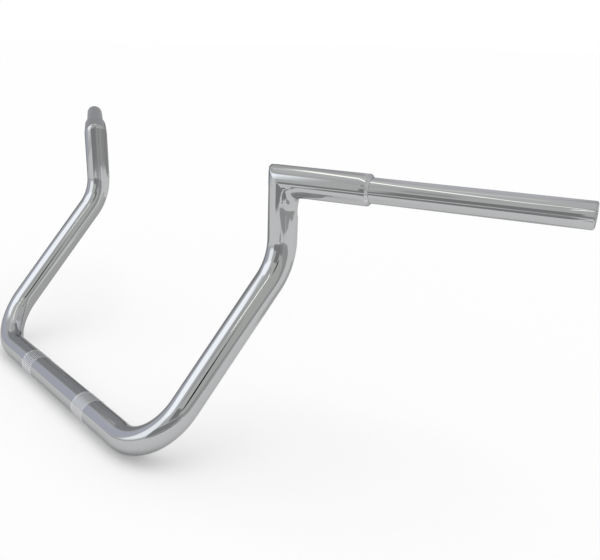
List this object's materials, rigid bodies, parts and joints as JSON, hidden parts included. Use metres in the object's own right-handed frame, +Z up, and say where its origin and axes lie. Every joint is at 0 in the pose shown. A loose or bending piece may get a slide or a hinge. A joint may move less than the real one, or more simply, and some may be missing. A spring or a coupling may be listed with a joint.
{
  "type": "motorcycle handlebar",
  "caption": "Chromed motorcycle handlebar with leaning risers, pointed mitred corners, knurled clamp bands and slimmer swept control tubes with open ends.",
  "frame": {"origin": "middle of the bottom bar's axis, halfway between the two clamp bands", "axes": "+X along the bottom bar to the right-hand control tube, +Y towards the rider, +Z up along the uprights"},
  "size_m": [0.9972, 0.323, 0.3039],
  "materials": {
    "chrome": "polished chrome plate, with knurled bands where the risers clamp"
  },
  "bodies": {
    "root": {"bent_tube": "chrome", "corner_sleeve_right": "chrome", "corner_sleeve_left": "chrome", "control_tube_right": "chrome", "control_tube_left": "chrome"}
  },
  "joints": []
}
